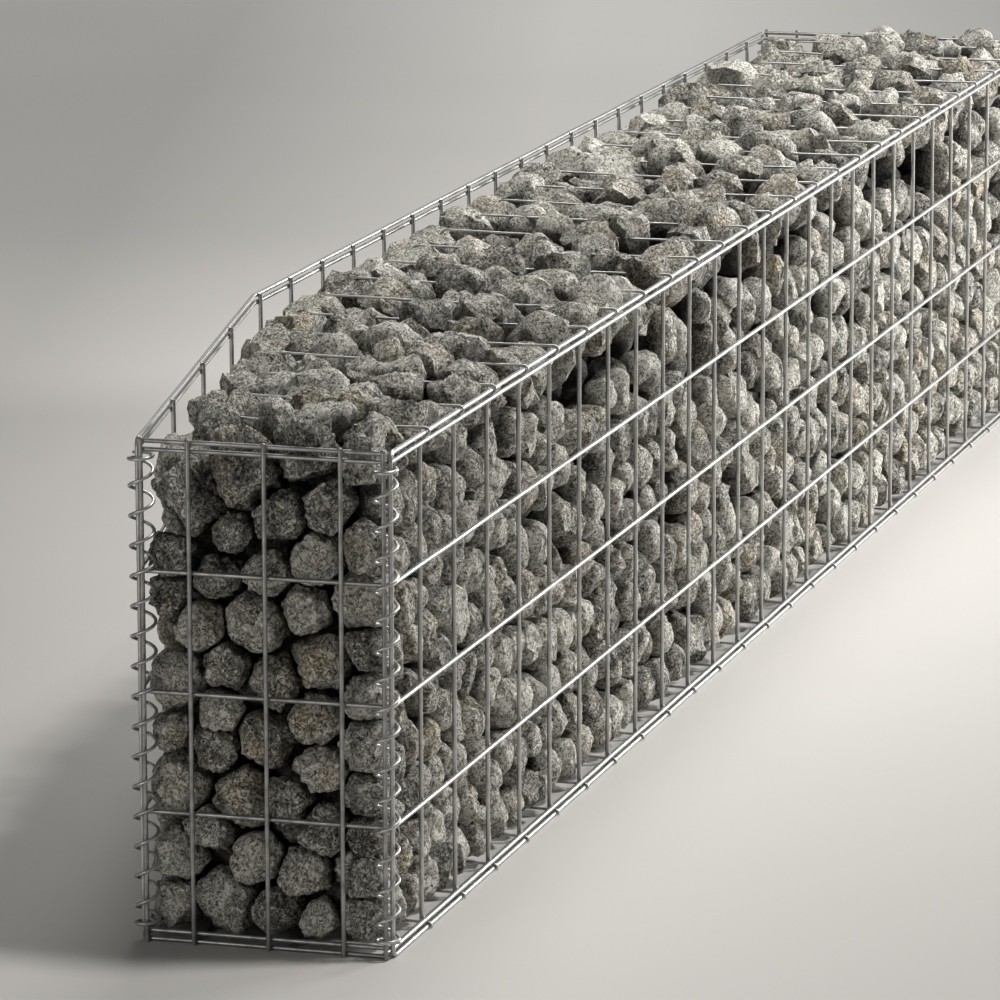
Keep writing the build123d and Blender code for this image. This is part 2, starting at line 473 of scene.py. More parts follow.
def make_piece(
    name: str, mesh: bpy.types.Mesh, material: bpy.types.Material, slot: str, *nodes: str
) -> bpy.types.Object:
    """Turn a finished mesh into a piece that stands for its nodes.

    Args:
        name: The piece's name.
        mesh: Its mesh, in place.
        material: Its finish.
        slot: Not used.
        nodes: The nodes that it stands for.

    Returns:
        The piece's object.
    """
    piece = place_in_scene(name, mesh)
    mesh.materials.append(material)
    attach(piece, BODY)
    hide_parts(*nodes)
    LOG.info("%s: %d faces", name, len(mesh.polygons))
    return piece


class Wire:
    """One round wire drawn from its tip: straight runs are extruded and bends are spun."""

    def __init__(self, tip: Vector, heading: Vector, diameter: float, sides: int = 10) -> None:
        """Cut the wire's tip square to its heading.

        Args:
            tip: The middle of the tip.
            heading: The direction in which the wire goes.
            diameter: The wire's diameter.
            sides: The number of sides of its section.
        """
        self.shape = bmesh.new()
        self.place = tip.copy()
        self.heading = heading.normalized()
        turned = Matrix.Translation(tip) @ self.heading.to_track_quat("Z", "Y").to_matrix().to_4x4()
        bmesh.ops.create_circle(
            self.shape, cap_ends=True, segments=sides, radius=diameter / 2, matrix=turned
        )
        self.end = list(self.shape.faces)

    def run(self, length: float, steps: int = 1) -> "Wire":
        """Go straight on.

        Args:
            length: How far.
            steps: The number of stretches that it is divided into.

        Returns:
            The wire.
        """
        for _ in range(steps):
            grown = bmesh.ops.extrude_face_region(self.shape, geom=self.end)["geom"]
            verts = [part for part in grown if isinstance(part, bmesh.types.BMVert)]
            self.end = [part for part in grown if isinstance(part, bmesh.types.BMFace)]
            bmesh.ops.translate(self.shape, verts=verts, vec=self.heading * (length / steps))
        self.place += self.heading * length
        return self

    def bend(self, axis: Vector, angle: float, radius: float, steps: int = 4) -> "Wire":
        """Bend round an axis that stands square to the heading.

        Args:
            axis: The direction of the axis, about which the wire turns right-handed.
            angle: The turn in radians, from 0 up.
            radius: The bend's radius along the wire's middle.
            steps: The number of stretches in the bend.

        Returns:
            The wire.
        """
        return self.coil(self.place + axis.cross(self.heading) * radius, axis, angle, 0.0, steps)

    def coil(self, centre: Vector, axis: Vector, angle: float, rise: float, steps: int) -> "Wire":
        """Wind round an axis through a centre while rising along it.

        Args:
            centre: A point on the axis.
            axis: The axis's direction.
            angle: The whole turn in radians.
            rise: The whole way along the axis.
            steps: The number of stretches.

        Returns:
            The wire.
        """
        spun = bmesh.ops.spin(
            self.shape,
            geom=self.end,
            cent=centre,
            axis=axis,
            dvec=axis * (rise / steps),
            angle=angle,
            steps=steps,
            use_merge=False,
            use_normal_flip=False,
            use_duplicate=False,
        )["geom_last"]
        self.end = [part for part in spun if isinstance(part, bmesh.types.BMFace)]
        turn = Matrix.Rotation(angle, 3, axis)
        self.place = centre + turn @ (self.place - centre) + axis * rise
        self.heading = turn @ self.heading
        return self


@dataclass
class WireWork:
    """The wires, welds and nubs of one piece of wire work, gathered in one mesh."""

    name: str
    finish: bpy.types.Material
    slot: str
    waver: float = 0.5 * MM
    shape: bmesh.types.BMesh = field(default_factory=bmesh.new)
    welds: list[int] = field(default_factory=list)

    def add(self, wire: Wire) -> None:
        """Take in a finished wire."""
        bmesh.ops.recalc_face_normals(wire.shape, faces=wire.shape.faces)
        carrier = mesh_from("carrier", wire.shape)
        self.shape.from_mesh(carrier)
        bpy.data.meshes.remove(carrier)

    def bead(self, place: Vector, size: Vector) -> None:
        """Add a small melted bead, such as a weld or a rounded wire end.

        Args:
            place: Its middle.
            size: Its half lengths along X, Y and Z.
        """
        spread = Matrix.Translation(place) @ Matrix.Diagonal((*size, 1))
        first = len(self.shape.verts)
        bmesh.ops.create_uvsphere(self.shape, u_segments=8, v_segments=6, radius=1.0, matrix=spread)
        self.welds.extend(range(first, len(self.shape.verts)))

    def build(self, *nodes: str) -> bpy.types.Object:
        """Make the piece, with the slight unevenness of hand-laced wire.

        The noise is seeded first, because its start is otherwise taken from the clock.

        Args:
            nodes: The nodes that the piece stands for.

        Returns:
            The piece's object.
        """
        noise.seed_set(WIRE_SEED)
        for vert in self.shape.verts:
            shake = noise.noise_vector(vert.co * 9.0) * 0.7 + noise.noise_vector(vert.co * 31.0) * 0.3
            vert.co += shake * self.waver
        mesh = mesh_from(self.name, self.shape)
        marks = np.zeros(len(mesh.vertices), np.float32)
        marks[self.welds] = 1.0
        mesh.attributes.new("weld", "FLOAT", "POINT").data.foreach_set("value", marks)
        mesh.shade_smooth()
        mesh.set_sharp_from_angle(angle=math.radians(50))
        return make_piece(self.name, mesh, self.finish, self.slot, *nodes)


@dataclass
class LongSide:
    """A long welded panel: uprights inside, with rails and a bent frame wire outside them."""

    frame: WallFrame
    finish: bpy.types.Material
    at_back: bool
    frame_bend: float = 7 * MM
    kink_bend: float = 14 * MM
    slant_bays: int = 4
    stretch: float = 0.05
    past_kink: float = 7 * MM
    next_past_kink: float = 10 * MM
    bead: tuple[float, float, float] = (2.3, 1.5, 2.3)

    @property
    def turn(self) -> float:
        """How far the side turns at the kink, going from the near end to the far end."""
        return self.frame.slant if self.at_back else 0.0

    @property
    def start(self) -> Vector:
        """The foot of the near corner, on the panel's middle plane."""
        return Vector((self.frame.near, self.frame.near_back if self.at_back else self.frame.front, 0))

    @property
    def first_heading(self) -> Vector:
        """The direction in which the side leaves the near corner."""
        return Vector((math.cos(self.turn), math.sin(self.turn), 0))

    def outward(self, heading: Vector) -> Vector:
        """The direction out of the wall, square to a heading along the side."""
        left = UP.cross(heading)
        return left if self.at_back else -left

    def runs(self, out: float) -> tuple[float, float]:
        """The two straight runs of a wire that lies a little out of the middle plane.

        Args:
            out: How far out of the middle plane the wire lies.

        Returns:
            The lengths before and after the kink, up to the corners of the plan.
        """
        if not self.at_back:
            half = (self.frame.far - self.frame.near) / 2
            return half, half
        spare = out * math.tan(self.turn / 2)
        return self.frame.slant_length + spare, self.frame.far - self.frame.kink + spare

    def along(self, wire: Wire, runs: tuple[float, float], turn: float) -> None:
        """Draw two runs with the kink between them, or one straight run.

        Args:
            wire: The wire, which stands at the start of the first run.
            runs: The two lengths.
            turn: The turn about the upright, right-handed.
        """
        before, after = runs
        if abs(turn) < 1e-6:
            wire.run(before + after, steps=2 * self.frame.cells_long)
            return
        saved = self.kink_bend * math.tan(abs(turn) / 2)
        wire.run(before - saved, steps=max(4, round(before / self.stretch)))
        wire.bend(UP * math.copysign(1, turn), abs(turn), self.kink_bend, steps=3)
        wire.run(after - saved, steps=max(4, round(after / self.stretch)))

    def draw_rails(self, work: WireWork) -> None:
        """Lay the five rails outside the uprights, with blunt ends against the frame wire."""
        wall = self.frame
        out = wall.mesh_wire / 2
        inset = wall.leg + wall.mesh_wire / 4
        before, after = self.runs(out)
        heading = self.first_heading
        for level in wall.levels:
            tip = self.start + heading * inset + self.outward(heading) * out + UP * level
            wire = Wire(tip, heading, wall.mesh_wire)
            self.along(wire, (before - inset, after - inset), -self.turn)
            work.add(wire)

    def draw_frame(self, work: WireWork) -> None:
        """Bend the frame wire round the panel, level with the rails."""
        wall = self.frame
        out = wall.mesh_wire / 2
        margin = wall.leg + self.frame_bend
        before, after = self.runs(out)
        heading = self.first_heading
        climb = wall.rim - wall.sill - 2 * self.frame_bend
        tip = self.start + heading * margin + self.outward(heading) * out + UP * wall.sill
        wire = Wire(tip, heading, wall.mesh_wire)
        self.along(wire, (before - margin, after - margin), -self.turn)
        lift = wire.heading.cross(UP)
        corner = (lift, math.pi / 2, self.frame_bend)
        wire.bend(*corner).run(climb, steps=8).bend(*corner)
        self.along(wire, (after - margin, before - margin), self.turn)
        corner = (heading.cross(UP), math.pi / 2, self.frame_bend)
        wire.bend(*corner).run(climb, steps=8).bend(*corner)
        work.add(wire)

    def upright_feet(self) -> list[tuple[Vector, Vector]]:
        """Where the uprights stand on the middle plane, with the heading there.

        Returns:
            A list of foot and heading.
        """
        wall = self.frame
        if not self.at_back:
            return [(Vector((x, wall.front, 0)), ALONG) for x in wall.uprights]
        heading = self.first_heading
        feet = [
            (self.start + heading * (wall.slant_length * bay / self.slant_bays), heading)
            for bay in range(1, self.slant_bays)
        ]
        feet.append((Vector((wall.kink + self.past_kink, wall.back, 0)), ALONG))
        straight = [x for x in wall.uprights if x > wall.kink + self.next_past_kink]
        return feet + [(Vector((x, wall.back, 0)), ALONG) for x in straight]

    def draw_uprights(self, work: WireWork, draw: random.Random) -> None:
        """Stand the uprights inside the rails and weld each crossing."""
        wall = self.frame
        radius = wall.mesh_wire / 2
        foot_height = wall.sill - radius / 2
        for foot, heading in self.upright_feet():
            inside = foot - self.outward(heading) * radius + heading * draw.uniform(-0.5, 0.5) * MM
            wire = Wire(inside + UP * foot_height, UP, wall.mesh_wire)
            work.add(wire.run(wall.rim + radius / 2 - foot_height, steps=16))
            for level in (wall.sill, *wall.levels, wall.rim):
                work.bead(foot + UP * level, Vector(self.bead) * MM)

    def build(self) -> bpy.types.Object:
        """Make the side's piece and let it stand for its node or nodes."""
        draw = random.Random(WIRE_SEED + int(self.at_back))
        name = "back_mesh" if self.at_back else "front_mesh"
        work = WireWork(name, self.finish, "mesh_wire")
        self.draw_frame(work)
        self.draw_rails(work)
        self.draw_uprights(work, draw)
        nodes = ("back_panel", "back_corner_panel") if self.at_back else ("front_panel",)
        return work.build(*nodes)


@dataclass
class EndMesh:
    """A welded end panel: uprights outside, single rails between doubled edge rails."""

    frame: WallFrame
    finish: bpy.types.Material
    node: str
    places: tuple[float, ...]
    x: float
    outward: float
    foot_height: float = 0.3 * MM
    crown_bead: tuple[float, float, float] = (2.4, 2.5, 1.7)
    bead: tuple[float, float, float] = (1.5, 2.3, 2.2)

    def build(self) -> bpy.types.Object:
        """Make the end's piece.

        Returns:
            The piece's object.
        """
        wall = self.frame
        radius = wall.mesh_wire / 2
        work = WireWork(self.node.replace("panel", "mesh"), self.finish, "mesh_wire")
        low, high = min(self.places), max(self.places)
        crown = wall.rim + 1.15 * radius
        for y in self.places:
            foot = Vector((self.x + self.outward * radius, y, self.foot_height))
            work.add(Wire(foot, UP, wall.mesh_wire).run(crown - foot.z, steps=18))
            work.bead(foot + UP * (crown - foot.z), Vector(self.crown_bead) * MM)
            for level in (wall.sill, *wall.levels, wall.rim):
                work.bead(Vector((self.x, y, level)), Vector(self.bead) * MM)
        for level in (wall.sill, *wall.levels, wall.rim):
            tip = Vector((self.x - self.outward * radius, low - radius, level))
            work.add(Wire(tip, ACROSS, wall.mesh_wire).run(high - low + 2 * radius, steps=10))
        return work.build(self.node)


@dataclass
class SpiralJoiner:
    """A coiled wire wound up a corner round both panels' edge wires."""

    frame: WallFrame
    finish: bpy.types.Material
    node: str
    corner: Vector
    heading: float
    diameter: float = 22.4 * MM
    pitch: float = 25 * MM
    closing: float = 4.5 * MM
    steps: int = 22
    waver: float = 0.9 * MM

    def build(self) -> bpy.types.Object:
        """Make the coil, with its last turn at each end pulled in tight.

        Returns:
            The piece's object.
        """
        wall = self.frame
        radius = (self.diameter - wall.joiner_wire) / 2
        start = wall.levels[0] + wall.joiner_wire + MM + self.closing
        stop = wall.levels[-1] - wall.joiner_wire - MM - self.closing
        passing = wall.levels[0] + self.pitch / 2
        turn = self.heading + 2 * math.pi * (start - passing) / self.pitch
        arm = Vector((math.cos(turn), math.sin(turn), 0))
        centre = self.corner + UP * (start - self.closing)
        slope = math.atan2(self.closing, 2 * math.pi * radius)
        heading = UP.cross(arm) * math.cos(slope) + UP * math.sin(slope)
        wire = Wire(centre + arm * radius, heading, wall.joiner_wire)
        turns = (stop - start) / self.pitch
        wire.coil(centre, UP, 2 * math.pi, self.closing, self.steps)
        wire.coil(centre, UP, 2 * math.pi * turns, stop - start, round(turns * self.steps))
        wire.coil(centre, UP, 2 * math.pi, self.closing, self.steps)
        name = self.node.replace("spiral", "coil")
        work = WireWork(name, self.finish, "joiner_wire", waver=self.waver)
        work.add(wire)
        return work.build(self.node)


@dataclass
class CrossTies:
    """The tie wires that hook on the front rim, cross the heap and dip to a back rail."""

    frame: WallFrame
    finish: bpy.types.Material
    wrap: float = math.radians(235)
    tail: float = 1.5 * MM
    dip_width: float = 65 * MM
    bend_radius: float = 9 * MM
    play: float = 0.15 * MM
    sag: tuple[float, float] = (0.3, 1.8)
    waver: float = 0.7 * MM

    def build(self) -> list[bpy.types.Object]:
        """Make one tie at each upright of the front.

        Returns:
            The ties' objects.
        """
        draw = random.Random(WIRE_SEED + 7)
        return [self.build_tie(number, x, draw) for number, x in enumerate(self.frame.uprights, start=1)]

    def build_tie(self, number: int, upright: float, draw: random.Random) -> bpy.types.Object:
        """Make one tie: a hook, a level run that bows slightly, a slope, and a hook.

        Args:
            number: The tie's number from the near end.
            upright: The place of its upright.
            draw: The source of small differences.

        Returns:
            The tie's object.
        """
        wall = self.frame
        half = wall.mesh_wire / 2
        grip = half + wall.tie_wire / 2 + self.play
        x = upright + wall.hook_offset
        rim = Vector((x, wall.front - half, wall.rim))
        rail = Vector((x, wall.back_at(x) + half, wall.levels[-2]))
        side = -ALONG
        dip = math.atan2(rim.z - rail.z, self.dip_width)
        slope = Matrix.Rotation(dip, 3, side)
        landing = rail + slope @ (UP * grip)
        slope_length = (rim.z + grip - landing.z) / math.sin(dip)
        level_length = landing.y - slope_length * math.cos(dip) - rim.y
        cut = self.bend_radius * math.tan(dip / 2)
        wrapped = Matrix.Rotation(-self.wrap, 3, side)
        tip = rim + wrapped @ (UP * grip)
        heading = wrapped @ ACROSS
        wire = Wire(tip - heading * self.tail, heading, wall.tie_wire, sides=8)
        wire.run(self.tail).bend(side, self.wrap, grip, steps=12).run(level_length - cut, steps=12)
        wire.bend(side, dip, self.bend_radius, steps=4).run(slope_length - cut, steps=4)
        wire.bend(side, self.wrap - dip, grip, steps=10).run(self.tail)
        sag = draw.uniform(*self.sag) * MM
        for vert in wire.shape.verts:
            share = min(1.0, max(0.0, (vert.co.y - rim.y) / level_length))
            vert.co.z -= math.sin(math.pi * share) * sag
        work = WireWork(f"tie_{number:02d}", self.finish, "tie_wire", waver=self.waver)
        work.add(wire)
        return work.build(f"cross_tie_{number:02d}")


@dataclass
class BaseMesh:
    """The mesh floor: long wires on the ground, and cross wires bent down over the frames."""

    frame: WallFrame
    finish: bpy.types.Material
    long_wires: int = 5
    drop: float = 1.2 * MM
    waver: float = 0.2 * MM

    def build(self) -> bpy.types.Object:
        """Make the floor's piece.

        Returns:
            The piece's object.
        """
        wall = self.frame
        radius = wall.mesh_wire / 2
        work = WireWork("base_mesh", self.finish, "mesh_wire", waver=self.waver)
        low, high = wall.front + wall.base_inset, wall.back - wall.base_inset
        for number in range(self.long_wires):
            y = low + (high - low) * number / (self.long_wires - 1)
            reach = (high - y) / math.tan(wall.slant)
            start = max(wall.near, wall.kink - reach) + wall.mesh_wire
            tip = Vector((start, y, wall.sill))
            wire = Wire(tip, ALONG, wall.mesh_wire, sides=8)
            work.add(wire.run(wall.far - tip.x - wall.mesh_wire, steps=wall.cells_long))
        for upright in wall.uprights:
            self.draw_cross_wire(work, upright + wall.hook_offset, radius)
        return work.build("base_panel")

    def draw_cross_wire(self, work: WireWork, x: float, radius: float) -> None:
        """Lay one cross wire and bend both ends down outside the lower frame wires.

        Args:
            work: The wire work that it joins.
            x: Its place along the wall.
            radius: Half the frame wire's diameter.
        """
        wall = self.frame
        grip = radius + wall.tie_wire / 2
        front = wall.front - radius
        back = wall.back_at(x) + radius
        tip = Vector((x, front - grip, wall.sill - self.drop))
        side = -ALONG
        wire = Wire(tip, UP, wall.tie_wire, sides=8)
        wire.run(self.drop).bend(side, math.pi / 2, grip, steps=5).run(back - front, steps=6)
        wire.bend(side, math.pi / 2, grip, steps=5).run(self.drop)
        work.add(wire)


class StoneKind(Enum):
    """How a stone was broken: tumbled cobbles fill the basket and raw lumps cap it."""

    COBBLE = "cobble"
    LUMP = "lump"


@dataclass(frozen=True)
class StoneForm:
    """The numbers that shape one kind of stone.

    Attributes:
        least: The smallest radius.
        usual: The commonest radius.
        most: The largest radius.
        chips: The fewest and the most flat chips.
        chip_depth: How near the middle a chip may cut, as a share of the radius.
        stretch: How far a stone's three widths may differ from a ball's.
        crispness: How sharp the edges between chips are.
        lumps: The height of the wide swellings.
        crags: The height of the creases.
        roughness: The height of the finest bumps.
    """

    least: float
    usual: float
    most: float
    chips: tuple[int, int]
    chip_depth: tuple[float, float]
    stretch: float
    crispness: float
    lumps: float
    crags: float
    roughness: float


FORMS = {
    StoneKind.COBBLE: StoneForm(
        least=18 * MM,
        usual=23.5 * MM,
        most=31 * MM,
        chips=(5, 11),
        chip_depth=(0.66, 0.98),
        stretch=0.2,
        crispness=26,
        lumps=0.035,
        crags=0.070,
        roughness=0.030,
    ),
    StoneKind.LUMP: StoneForm(
        least=25 * MM,
        usual=31 * MM,
        most=41 * MM,
        chips=(9, 15),
        chip_depth=(0.54, 0.94),
        stretch=0.24,
        crispness=48,
        lumps=0.030,
        crags=0.105,
        roughness=0.042,
    ),
}


@dataclass
class StonePile:
    """The fill as balls that are pushed apart until they pack against the mesh.

    Attributes:
        frame: The wall's planes.
        packing: The share of the basket that the balls would fill uncompressed.
        cap_spread: The floor area that each lump of the cap takes.
        squeeze: How far two balls may sink into each other.
        steps: How many times all balls are pushed apart.
        skin: How far the stones keep from the mesh's middle plane.
        slant_skin: The same, at the slanting back.
        floor_skin: The same, above the mesh floor.
        spiral_clear: How far the stones keep from the corners, for the coils.
        lid: How high above the rims a stone may stand.
        crown: How much higher the heap is along its middle.
        back_drop: How much lower it is along the back.
        cap_depth: How far below the heap's top the cobbles stay, under the lumps.
        reach: How far apart two balls may be that are tested against each other.
        regroup: After how many steps the pairs are looked for again.
        sink: How far the cobbles sink in one step.
        cover_inset: How far from the back the lumps lie that bury the ties' slopes.
        cover_radius: The size of those lumps.
        cover_top: How high those lumps stand above the rim.
    """

    frame: WallFrame
    packing: float = 0.76
    cap_spread: float = 0.0034
    squeeze: float = 0.965
    steps: int = 120
    skin: float = 4.6 * MM
    slant_skin: float = 3.2 * MM
    floor_skin: float = 5.5 * MM
    spiral_clear: float = 16.8 * MM
    lid: float = 23 * MM
    crown: float = 22 * MM
    back_drop: float = 21 * MM
    cap_depth: float = 30 * MM
    reach: float = 76 * MM
    regroup: int = 10
    sink: float = 0.35 * MM
    cover_inset: float = 54 * MM
    cover_radius: float = 38 * MM
    cover_top: float = 15 * MM

    def __post_init__(self) -> None:
        """Set out the basket's inner planes and drop the balls in."""
        self.draw = np.random.default_rng(PILE_SEED)
        self.normals, self.offsets = self.inner_planes()
        self.drop_balls()
        self.settle()

    def inner_planes(self) -> tuple[np.ndarray, np.ndarray]:
        """The planes that keep the stones inside the wires and clear of the coils.

        Returns:
            Unit normals that point inwards, and each plane's place along its normal.
        """
        wall = self.frame
        slant = wall.slant
        rows = [
            ((0, 1, 0), (wall.near, wall.front + self.skin, 0)),
            ((0, -1, 0), (wall.far, wall.back - self.skin, 0)),
            ((math.sin(slant), -math.cos(slant), 0), (wall.near, wall.near_back - self.slant_skin, 0)),
            ((1, 0, 0), (wall.near + self.skin, 0, 0)),
            ((-1, 0, 0), (wall.far - self.skin, 0, 0)),
            ((0, 0, 1), (0, 0, wall.sill + self.floor_skin)),
            ((0, 0, -1), (0, 0, wall.rim + self.lid)),
        ]
        corners = [
            (wall.near, wall.front, 1, 1),
            (wall.near, wall.near_back, 1, -1),
            (wall.far, wall.front, -1, 1),
            (wall.far, wall.back, -1, -1),
        ]
        for x, y, along, across in corners:
            half = self.spiral_clear / 2
            rows.append(((along, across, 0), (x + along * half, y + across * half, 0)))
        normals = np.array([Vector(normal).normalized() for normal, _ in rows])
        offsets = np.array([normal @ np.array(point) for normal, (_, point) in zip(normals, rows)])
        return normals, offsets

    def back_at(self, x: np.ndarray) -> np.ndarray:
        """The Y of the back at places along the wall."""
        wall = self.frame
        return wall.back - math.tan(wall.slant) * np.maximum(0, wall.kink - x)

    def ceiling(self, x: np.ndarray, y: np.ndarray) -> np.ndarray:
        """How high the stones reach: highest down the middle, lowest along the back.

        Args:
            x: Places along the wall.
            y: Places across it.

        Returns:
            The heights.
        """
        wall = self.frame
        across = np.clip((y - wall.front) / (self.back_at(x) - wall.front), 0, 1)
        crown = self.crown * np.sin(math.pi * across**0.75) - self.back_drop * across**2.5
        waves = 5 * MM * np.sin(23 * x + 1.0) * np.cos(19 * y) + 4 * MM * np.sin(41 * x + 9 * y)
        return wall.rim + crown + waves

    def radii_of(self, kind: StoneKind, count: int) -> np.ndarray:
        """Draw the sizes of a number of stones of a kind."""
        form = FORMS[kind]
        return self.draw.triangular(form.least, form.usual, form.most, count)

    def drop_balls(self) -> None:
        """Scatter the cap's lumps on top and the cobbles below them."""
        wall = self.frame
        mean_width = (wall.back - wall.front) * 0.95
        floor_area = (wall.far - wall.near) * mean_width
        caps = int(floor_area / self.cap_spread)
        cap_radii = self.radii_of(StoneKind.LUMP, caps)
        sample = self.radii_of(StoneKind.COBBLE, 6000)
        volume = floor_area * (wall.levels[-1] - wall.sill)
        below = volume * self.packing - (BALL_VOLUME * cap_radii**3).sum()
        cobbles = int(below / (BALL_VOLUME * sample**3).mean())
        self.radii = np.concatenate([cap_radii, sample[:cobbles]])
        self.is_cap = np.arange(len(self.radii)) < caps
        count = len(self.radii)
        x = self.draw.uniform(wall.near + 0.02, wall.far - 0.02, count)
        share = self.draw.uniform(0.05, 0.95, count)
        y = wall.front + share * (self.back_at(x) - wall.front)
        top = self.ceiling(x, y)
        z = np.where(self.is_cap, top - self.radii, self.draw.uniform(0.02, 0.98, count) * (top - 0.06))
        self.centres = np.stack([x, y, z], axis=1)
        self.cover_ties(caps)
        LOG.info("%d lumps and %d cobbles", caps, cobbles)

    def cover_ties(self, caps: int) -> None:
        """Pin the nearest lump of the cap over the place where each tie goes down."""
        wall = self.frame
        self.pins: dict[int, tuple[float, float, float]] = {}
        free = list(range(caps))
        for upright in wall.uprights:
            x = upright + wall.hook_offset
            place = np.array((x, wall.back_at(x) - self.cover_inset))
            nearest = min(free, key=lambda lump: np.linalg.norm(self.centres[lump, :2] - place))
            free.remove(nearest)
            self.radii[nearest] = self.cover_radius
            self.pins[nearest] = (*place, wall.rim + self.cover_top - self.cover_radius)

    def near_pairs(self, reach: float) -> np.ndarray:
        """Every pair of balls whose middles are within a reach of each other."""
        tree = kdtree.KDTree(len(self.centres))
        for index, centre in enumerate(self.centres):
            tree.insert(centre, index)
        tree.balance()
        pairs = [
            (index, other)
            for index, centre in enumerate(self.centres)
            for _, other, _ in tree.find_range(centre, reach)
            if other > index
        ]
        return np.array(pairs)

    def settle(self) -> None:
        """Let the balls sink and lean on the mesh while they push each other apart."""
        pairs = self.near_pairs(self.reach)
        for step in range(self.steps):
            if (step + 1) % self.regroup == 0:
                pairs = self.near_pairs(self.reach)
            if step < self.steps * 0.75:
                self.lean(self.sink)
            first, second = pairs.T
            between = self.centres[second] - self.centres[first]
            distance = np.linalg.norm(between, axis=1) + 1e-9
            wanted = self.squeeze * (self.radii[first] + self.radii[second])
            overlap = np.maximum(0, wanted - distance)
            push = between * (overlap * 0.3 / distance)[:, None]
            np.add.at(self.centres, second, push)
            np.add.at(self.centres, first, -push)
            self.keep_inside()

    def lean(self, amount: float) -> None:
        """Move the cobbles down, and those beside the mesh towards it."""
        self.centres[:, 2] -= np.where(self.is_cap, 0, amount)
        clear = self.centres @ self.normals[:5].T - self.offsets[:5]
        beside = clear < 1.5 * self.radii[:, None]
        self.centres -= np.where(beside, amount, 0) @ self.normals[:5]

    def keep_inside(self) -> None:
        """Move every ball that presses through the mesh or the top back in."""
        for normal, offset in zip(self.normals, self.offsets):
            short = 0.84 * self.radii - (self.centres @ normal - offset)
            self.centres += np.maximum(0, short)[:, None] * normal
        top = self.ceiling(self.centres[:, 0], self.centres[:, 1])
        high = np.where(self.is_cap, top - 0.78 * self.radii, top - self.cap_depth - 0.6 * self.radii)
        low = np.where(self.is_cap, top - 1.0 * self.radii, 0)
        self.centres[:, 2] = np.clip(self.centres[:, 2], low, high)
        self.centres[list(self.pins)] = list(self.pins.values())

    def depth_at(self, places: np.ndarray) -> np.ndarray:
        """How far places are from the nearest side, end or top that shows."""
        sides = (places @ self.normals[:5].T - self.offsets[:5]).min(axis=1)
        top = self.ceiling(places[:, 0], places[:, 1]) - places[:, 2]
        return np.minimum(sides, top)


